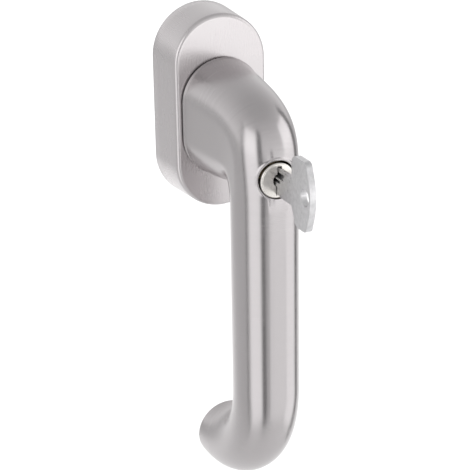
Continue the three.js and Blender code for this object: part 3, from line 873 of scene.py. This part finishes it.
def base_plate():
    """The die-cast plate: hub and bosses in front, two stepped spigots and ejector marks behind."""
    edge, outline = PLATE_EDGE, (plate_high.x, plate_high.z)
    edges = [(0, edge), (0.3 * edge, 0.3 * edge), (edge, 0)]
    edges += [(PLATE_THICK - edge, 0), (PLATE_THICK, edge)]
    casting = skin("base_plate_casting", [base_ring(f, i, outline) for f, i in edges])
    hub_edges = ((JOINED, 0), (HUB_FRONT - edge, 0), (HUB_FRONT, edge))
    hub = skin("hub", [base_ring(f, i, HUB_HALF) for f, i in hub_edges])
    lumps = [spigot_and_boss(z) for z in (SCREW_Z, -SCREW_Z)] + [peg(x) for x in (PEG_X, -PEG_X)]
    join(casting, hub, *lumps)
    chamber = turned("chamber", [
        (0, -PAST), (CHAMBER_RADIUS + CHAMBER_FLARE, -PAST), (CHAMBER_RADIUS, 0.3),
        (CHAMBER_RADIUS, CHAMBER_FRONT), (0, CHAMBER_FRONT),
    ])
    bush = rod("bush_seat", BUSH_RADIUS, BUSH_BACK, HUB_FRONT + PAST)
    channels = rod("channels", CHANNEL_RADIUS, -CHANNEL_HALF, CHANNEL_HALF, 24)
    upright = Matrix.Rotation(pi / 2, 4, "X")
    channels.matrix_world = Matrix.Translation(point(0, CHANNEL_FORWARD, 0)) @ upright
    marks = [ejector_mark(z) for z in (MARK_Z, -MARK_Z)]
    bores = [screw_bore(z) for z in (SCREW_Z, -SCREW_Z)]
    cut(casting, chamber, bush, channels, *marks, *bores)
    flatten(casting)
    dress(casting, "die_cast_zinc", "rose", ["base_plate"])


def ejector_mark(z):
    profile = [(0, -PAST), (MARK_RADIUS, -PAST), (MARK_RADIUS - 0.1, MARK_DEPTH), (0, MARK_DEPTH)]
    return turned("mark", profile, 32, z)


def spigot_and_boss(z):
    """A spigot with a rounded end and a foot ring behind, and the screw's boss in front."""
    radius, back, end, rounding = SPIGOT_RADIUS, SPIGOT_BACK, 0.6, 0.17
    boss, front, chamfer = BOSS_RADIUS, BOSS_FRONT, 0.3
    foot = radius + 0.3
    profile = [
        (0, back), (radius - end, back), (radius - rounding, back + rounding), (radius, back + end),
        (radius, -0.3), (radius + 0.1, -0.1), (foot, 0), (foot, JOINED), (boss, JOINED),
        (boss, front - chamfer), (boss - chamfer, front), (0, front),
    ]
    return turned("spigot", profile, 64, z)


def peg(x):
    """A chamfered peg that locates the locking plate."""
    chamfer = 0.3
    obj = turned("peg", [
        (0, 12), (PEG_RADIUS, 12), (PEG_RADIUS, PEG_FRONT - chamfer),
        (PEG_RADIUS - chamfer, PEG_FRONT), (0, PEG_FRONT),
    ], 24)
    obj.location = point(x, 0, 0)
    return obj


def screw_bore(z):
    """A screw's clearance bore, chamfered behind and countersunk in front."""
    cone = HEAD_FRONT - HEAD_RADIUS
    wide, head = SCREW_BORE + 0.4, HEAD_RADIUS + 0.4
    back, front = SPIGOT_BACK - PAST, BOSS_FRONT + PAST
    profile = [
        (0, back), (wide, back), (wide, SPIGOT_BACK), (SCREW_BORE, SPIGOT_BACK + 0.4),
        (SCREW_BORE, cone + SCREW_BORE - 0.2), (head, HEAD_FRONT + 0.1), (head, front), (0, front),
    ]
    return turned("screw_bore", profile, 48, z)


def fixing_screw(node):
    """A countersunk M5 screw with a cut thread and a cross recess."""
    low, high = extent(node)
    tip, front, z = low.y, high.y, (low.z + high.z) / 2
    thread_end = tip + THREAD_LENGTH
    rings = [screw_ring(tip, z, SCREW_RADIUS - 0.75)]
    for f in np.arange(tip + 0.1, thread_end, THREAD_PITCH / 8):
        run_out = min(1, (thread_end - f) / THREAD_PITCH)
        point_radius = SCREW_RADIUS - 0.7 + (f - tip)
        rings.append(screw_ring(f, z, min(SCREW_RADIUS, point_radius), THREAD_DEPTH * run_out))
    cone = front - (HEAD_RADIUS - SCREW_RADIUS)
    rings += [screw_ring(f, z, SCREW_RADIUS) for f in (thread_end + 0.1, cone)]
    head_edge = ((0.35, 0.15), (0.12, 0.05), (0, 0.2))
    rings += [screw_ring(front - short, z, HEAD_RADIUS - inset) for short, inset in head_edge]
    screw = skin(node + "_body", rings)
    arm, depth, width = (-2.2, 2.2), (front - 2, front + PAST), (-0.55, 0.55)
    recess = [block("recess", arm, depth, width) for _ in range(2)]
    for turn, tool in zip((pi / 4, -pi / 4), recess):
        turned_arm = Matrix.Rotation(turn, 4, "Y")
        tool.matrix_world = Matrix.Translation(point(0, 0, z)) @ turned_arm
    flatten(cut(screw, *recess))
    dress(screw, "plated_steel", "rose", [node])


def screw_ring(forward, z, radius, depth=0.0):
    """A ring of a screw; with a depth, its points dip where the thread's groove passes."""
    ring = []
    for a in turns(SCREW_POINTS):
        phase = (forward / THREAD_PITCH - a / (2 * pi)) % 1
        ridge = min(1, max(0, 1.25 - abs(phase - 0.5) * 2.9))
        r = radius - depth * (1 - ridge)
        ring.append(point(r * sin(a), forward, z + r * cos(a)))
    return ring


def spindle():
    """The square bar, grooved for its ring and drilled for the cross pin."""
    low, high = extent("spindle")
    bar = block("spindle_bar", (low.x, high.x), (low.y, high.y), (low.z, high.z))
    bevel(bar, 0.5, 1)
    floor, outside = 4.35, 8
    back, front = 2.7, 3.7
    groove = turned("groove", [(floor, back), (outside, back), (outside, front), (floor, front)])
    cut(bar, groove, rod_across("cross_hole", 1.1, outside, 14, 0))
    dress(bar, "plated_steel", "handle", ["spindle"])


# ---- The carried-over CAD nodes --------------------------------------------------------------


def finish_cad_nodes():
    """Gives every CAD node its slot's material; the nodes with the lever's are all replaced."""
    for name, obj in frame["nodes"].items():
        finish(obj, SLOTS[name])
        shade(obj, SHARP)


# ---- Studio ----------------------------------------------------------------------------------

# The camera, in millimetres: its angles and distance from the target, and how far its aim lies
# to the right of and above the target.
AZIMUTH = radians(24.083)
ELEVATION = radians(21.113)
ROLL = radians(-0.848)
DISTANCE = 542.6
TARGET = (0, 30.7, -41)
FRAMING = (-1.81, 2.8)
LENS = 127.9

# The studio, in metres and degrees.
FLOOR = -1.0
FLOOR_HALF = 12
SOFTBOX_TOP = 0.6
SOFTBOX_FOOT = -0.95
SOFTBOX_DISTANCE = 0.85
FLAG_FOOT = -0.98
FLAG_DISTANCE = 0.8
BACKDROP_SIZE = (2.8, 4.8)
BACKDROP_PLACE = (1.2, 2.85, -0.25)
BACKDROP_RADIANCE = 0.8
# The sky's grey by height: 0 is the horizon and 1 is overhead.
SKY_TONES = {0.0: 0.66, 0.14: 0.92, 0.34: 0.82, 0.95: 0.54}


def camera_axes():
    """The directions to the right of, above and behind a level camera."""
    right = Vector((cos(AZIMUTH), -sin(AZIMUTH), 0))
    level = cos(ELEVATION)
    back = Vector((-sin(AZIMUTH) * level, -cos(AZIMUTH) * level, sin(ELEVATION)))
    return right, back.cross(right), back


def camera():
    right, up, back = camera_axes()
    place = point(*TARGET) + back * DISTANCE * MM
    aim = point(*TARGET) + (right * FRAMING[0] + up * FRAMING[1]) * MM
    data = bpy.data.cameras.new("camera")
    data.lens = LENS
    data.sensor_width = 36
    data.clip_start = 0.01
    obj = in_scene("camera", data)
    look = (place - aim).normalized()
    across = right * cos(ROLL) + up * sin(ROLL)
    side = (across - look * across.dot(look)).normalized()
    matrix = Matrix((side, look.cross(side), look)).transposed().to_4x4()
    matrix.translation = place
    obj.matrix_world = matrix
    bpy.context.scene.camera = obj


def round_the_part(bearing, distance, height):
    """A spot at a bearing in degrees, counted to the right from the camera's own bearing."""
    angle = AZIMUTH - radians(bearing)
    return Vector((-sin(angle) * distance, -cos(angle) * distance, height))


def area_light(name, width, height, radiance):
    """A rectangular light whose face is as bright as radiance says, whatever its size."""
    data = bpy.data.lights.new(name, "AREA")
    data.shape = "RECTANGLE"
    data.size, data.size_y = width, height
    data.energy = radiance * pi * width * height
    return in_scene(name, data)


def softbox(name, bearing, spread, low, high, radiance):
    """An upright softbox as wide as spread degrees look from the part, between two heights."""
    width = 2 * SOFTBOX_DISTANCE * tan(radians(spread) / 2)
    obj = area_light(name, width, high - low, radiance)
    facing = round_the_part(bearing, SOFTBOX_DISTANCE, 0)
    obj.matrix_world = facing.to_track_quat("Z", "Y").to_matrix().to_4x4()
    obj.location = round_the_part(bearing, SOFTBOX_DISTANCE, (low + high) / 2)


def backdrop_light():
    """A panel low over the floor behind the part, facing down: it whitens the floor in view."""
    obj = area_light("backdrop_light", *BACKDROP_SIZE, BACKDROP_RADIANCE)
    obj.location = BACKDROP_PLACE
    obj.rotation_euler = (0, 0, -AZIMUTH)


def grey_finish(obj, name, scale, dark, light):
    """A matt grey that wavers a little."""
    n = Nodes(name)
    coords = n.add("ShaderNodeTexCoord").outputs["Object"]
    n.colour(n.noise(coords, scale), (dark, dark, dark), (light, light, light))
    n.set(Roughness=0.9)
    obj.data.materials.append(n.material)


def flag(name, bearing, spread):
    """A dark card that stands between the softboxes, so that it shows only in the reflections."""
    half = FLAG_DISTANCE * tan(radians(spread) / 2)
    middle = round_the_part(bearing, FLAG_DISTANCE, 0)
    across = Vector((0, 0, 1)).cross(middle).normalized() * half
    low, high = FLAG_FOOT, SOFTBOX_TOP
    outline = ((-1, low), (1, low), (1, high), (-1, high))
    corners = [middle + across * a + Vector((0, 0, z)) for a, z in outline]
    obj = new_object(name, corners, [(0, 1, 2, 3)])
    obj.visible_camera = False
    grey_finish(obj, name, 300.0, 0.2, 0.24)


def floor_sheet():
    outline = ((-1, -1), (1, -1), (1, 1), (-1, 1))
    corners = [(x * FLOOR_HALF, y * FLOOR_HALF, FLOOR) for x, y in outline]
    obj = new_object("floor", corners, [(0, 1, 2, 3)])
    grey_finish(obj, "floor", 8.0, 0.89, 0.91)


def sky():
    """A pale surround: as grey as the floor at the horizon, brighter above it, darker overhead."""
    world = bpy.data.worlds.new("studio")
    bpy.context.scene.world = world
    world.use_nodes = True
    tree = world.node_tree
    coords = tree.nodes.new("ShaderNodeTexCoord")
    split = tree.nodes.new("ShaderNodeSeparateXYZ")
    ramp = tree.nodes.new("ShaderNodeValToRGB")
    stops = ramp.color_ramp.elements
    while len(stops) < len(SKY_TONES):
        stops.new(0.5)
    for stop, (height, grey) in zip(stops, SKY_TONES.items()):
        stop.position = height
        stop.color = (grey, grey, grey, 1)
    tree.links.new(coords.outputs["Generated"], split.inputs["Vector"])
    tree.links.new(split.outputs["Z"], ramp.inputs["Fac"])
    tree.links.new(ramp.outputs["Color"], tree.nodes["Background"].inputs["Color"])


def studio():
    """Bearings and widths are in degrees: the bands on the grip are these lights' reflections."""
    sky()
    softbox("softbox_left", -31.5, 39, SOFTBOX_FOOT, SOFTBOX_TOP, 0.62)
    softbox("softbox_right", 92, 42, SOFTBOX_FOOT, SOFTBOX_TOP, 0.62)
    softbox("softbox_front", 44, 54, -0.25, 0.0, 0.9)
    softbox("softbox_low", 42, 54, SOFTBOX_FOOT, -0.28, 0.4)
    flag("flag_front", -3.5, 13)
    flag("flag_left", -61, 4.5)
    flag("flag_side", 122, 15)
    backdrop_light()
    floor_sheet()
    bpy.context.scene.view_settings.view_transform = "Standard"


# ---- Assembly --------------------------------------------------------------------------------

finish_cad_nodes()
rose_cover()
lever()
# A black ring at the neck's foot paints the seam's shade.
neck_seam_shade_ring()
lock_plug()
lock_housing()
key()
base_plate()
fixing_screw("fixing_screw_upper")
fixing_screw("fixing_screw_lower")
spindle()
camera()
studio()
